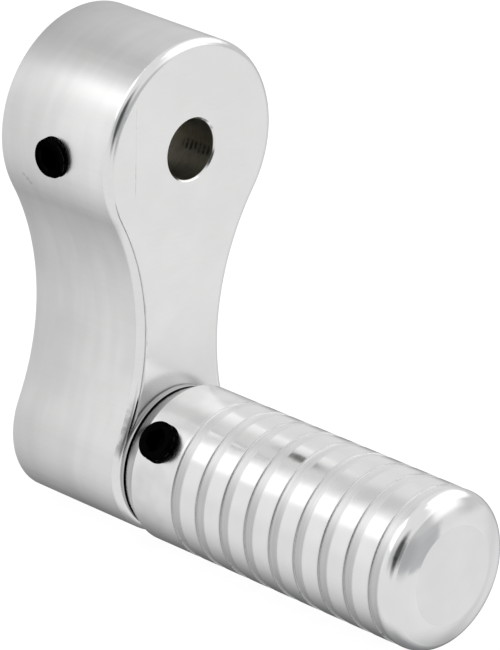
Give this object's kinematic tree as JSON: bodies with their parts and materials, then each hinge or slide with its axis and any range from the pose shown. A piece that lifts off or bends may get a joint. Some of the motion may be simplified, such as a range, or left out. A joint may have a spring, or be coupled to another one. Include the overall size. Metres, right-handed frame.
{
  "type": "motorcycle foot peg",
  "caption": "Round grooved foot peg that turns on the lower end of a waisted offset arm; the arm's upper boss has a bore and a set screw for a shaft.",
  "frame": {"origin": "centre of the shaft bore in the arm's upper boss, at the middle of the arm's thickness", "axes": "+X along the shaft bore towards the peg's free end, +Z from the peg's axis up to the shaft bore, +Y completes the right-handed frame; the set screws enter from the -Y side"},
  "size_m": [0.0833, 0.0362, 0.0805],
  "materials": {
    "machined_aluminium": "polished face, fine satin sides",
    "turned_aluminium": "polished lands, satin grooves",
    "black_oxide_steel": "black oxide",
    "cap_screw_steel": "black oxide",
    "bright_steel": "ground"
  },
  "bodies": {
    "arm_assembly": {"arm": "machined_aluminium", "arm_set_screw": "black_oxide_steel", "thrust_washer": "bright_steel", "peg_stud": "bright_steel", "stud_screw": "cap_screw_steel", "lock_washer": "bright_steel"},
    "peg_assembly": {"peg": "turned_aluminium", "peg_set_screw": "black_oxide_steel"}
  },
  "joints": [
    {"name": "peg_turn", "type": "hinge", "parent": "arm_assembly", "child": "peg_assembly", "pos_m": [0.0201, 0, -0.0504], "axis": [1, 0, 0], "continuous": true}
  ]
}
